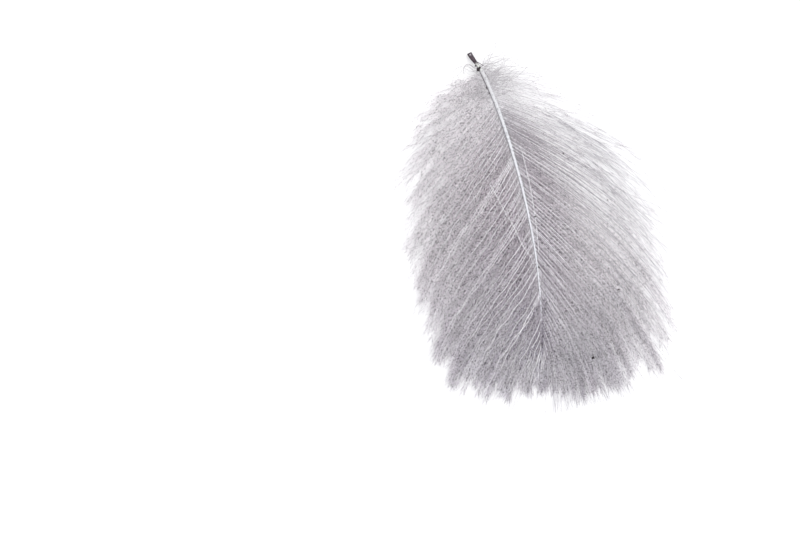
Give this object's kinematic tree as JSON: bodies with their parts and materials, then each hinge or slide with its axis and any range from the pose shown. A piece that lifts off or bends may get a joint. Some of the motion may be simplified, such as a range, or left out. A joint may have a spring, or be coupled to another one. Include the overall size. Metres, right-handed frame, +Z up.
{
  "type": "cdc feather",
  "caption": "Soft grey down feather of a duck, with a dark quill tip, a pale curved shaft and a wide fan of fine loose barbs, lying flat.",
  "frame": {"origin": "on the surface that the feather lies on, under the middle of the feather's box", "axes": "+Y along the shaft's chord, from the feather's soft tip to its quill; +Z up, out of the surface, on the feather's outer side; +X to the right of the shaft with the quill away from the viewer"},
  "size_m": [0.0406, 0.0553, 0.0041],
  "materials": {
    "feather": "matte"
  },
  "bodies": {
    "root": {"feather": "feather"}
  },
  "joints": []
}
